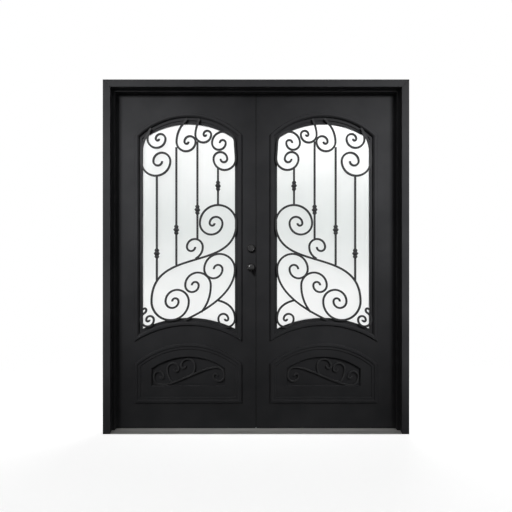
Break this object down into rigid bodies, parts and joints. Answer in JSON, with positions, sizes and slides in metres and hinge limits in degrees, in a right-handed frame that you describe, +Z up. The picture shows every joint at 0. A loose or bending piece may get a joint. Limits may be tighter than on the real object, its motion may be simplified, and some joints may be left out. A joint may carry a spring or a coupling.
{
  "type": "french doors",
  "caption": "Pair of black steel entry doors in a welded frame, with arched glass lights behind forged scroll grilles, arched kick panels, a knob lock and flush bolts.",
  "frame": {"origin": "on the floor under the middle of the sill, half way through the frame's depth", "axes": "+X across the doorway to the passive leaf, +Y from the street side to the room side, +Z up"},
  "size_m": [1.829, 0.202, 2.117],
  "materials": {
    "black_paint": "matte",
    "iron": "satin",
    "glass": "obscure",
    "seal": "matte",
    "sill_metal": "mill",
    "spacer_metal": "mill",
    "dark_hardware": "satin",
    "plain_steel": "brushed"
  },
  "bodies": {
    "frame": {"left_jamb": "black_paint", "right_jamb": "black_paint", "head_jamb": "black_paint", "left_stop": "black_paint", "right_stop": "black_paint", "head_stop": "black_paint", "sill": "sill_metal", "frame_seal": "seal", "jamb_hinges": "dark_hardware", "hinge_pins": "dark_hardware", "keeper_plate": "plain_steel"},
    "active_leaf": {"active_hinge_stile": "black_paint", "active_lock_stile": "black_paint", "active_top_rail": "black_paint", "active_lock_rail": "black_paint", "active_bottom_rail": "black_paint", "active_light_moulding": "black_paint", "active_glazing_ledge": "black_paint", "active_glass_panes": "glass", "active_glass_spacer": "spacer_metal", "active_glazing_bead": "black_paint", "active_grille": "iron", "active_grille_collars": "iron", "active_kick_panel": "black_paint", "active_kick_moulding": "black_paint", "active_kick_scroll": "iron", "active_leaf_hinges": "dark_hardware", "active_sweep": "seal", "face_plate": "plain_steel", "lock_case": "plain_steel", "roses": "dark_hardware", "cylinder_guard": "dark_hardware", "key_cylinder": "dark_hardware"},
    "passive_leaf": {"passive_hinge_stile": "black_paint", "passive_lock_stile": "black_paint", "passive_top_rail": "black_paint", "passive_lock_rail": "black_paint", "passive_bottom_rail": "black_paint", "passive_light_moulding": "black_paint", "passive_glazing_ledge": "black_paint", "passive_glass_panes": "glass", "passive_glass_spacer": "spacer_metal", "passive_glazing_bead": "black_paint", "passive_grille": "iron", "passive_grille_collars": "iron", "passive_kick_panel": "black_paint", "passive_kick_moulding": "black_paint", "passive_kick_scroll": "iron", "passive_leaf_hinges": "dark_hardware", "passive_sweep": "seal", "strike_plate": "plain_steel", "flush_faces": "plain_steel", "meeting_seal": "seal"},
    "knob_set": {"knobs": "dark_hardware", "spindle": "plain_steel"},
    "latch": {"latch_bolt": "plain_steel"},
    "turn": {"thumb_turn": "dark_hardware"},
    "dead_bolt": {"deadbolt": "plain_steel"},
    "upper_bolt": {"upper_flush_bolt": "plain_steel"},
    "lower_bolt": {"lower_flush_bolt": "plain_steel"}
  },
  "joints": [
    {"name": "active_swing", "type": "hinge", "parent": "frame", "child": "active_leaf", "pos_m": [-0.8682, 0.0805, 1.042], "axis": [0, 0, 1], "range_deg": [0, 110]},
    {"name": "passive_swing", "type": "hinge", "parent": "frame", "child": "passive_leaf", "pos_m": [0.8682, 0.0805, 1.042], "axis": [0, 0, -1], "range_deg": [0, 110]},
    {"name": "knob_turn", "type": "hinge", "parent": "active_leaf", "child": "knob_set", "pos_m": [-0.0303, 0.046, 0.995], "axis": [0, 1, 0], "range_deg": [0, 60]},
    {"name": "latch_slide", "type": "slide", "parent": "active_leaf", "child": "latch", "axis": [1, 0, 0], "range_m": [0, 0.012]},
    {"name": "thumb_turn", "type": "hinge", "parent": "active_leaf", "child": "turn", "pos_m": [-0.0303, 0.046, 1.113], "axis": [0, 1, 0], "range_deg": [0, 90]},
    {"name": "deadbolt_slide", "type": "slide", "parent": "active_leaf", "child": "dead_bolt", "axis": [1, 0, 0], "range_m": [0, 0.015]},
    {"name": "upper_bolt_slide", "type": "slide", "parent": "passive_leaf", "child": "upper_bolt", "axis": [0, 0, 1], "range_m": [0, 0.014]},
    {"name": "lower_bolt_slide", "type": "slide", "parent": "passive_leaf", "child": "lower_bolt", "axis": [0, 0, -1], "range_m": [0, 0.014]}
  ],
  "couplings": [
    {"joint": "latch_slide", "follows": "knob_turn", "m_per_rad": 0.011458},
    {"joint": "deadbolt_slide", "follows": "thumb_turn", "m_per_rad": 0.0095483}
  ]
}
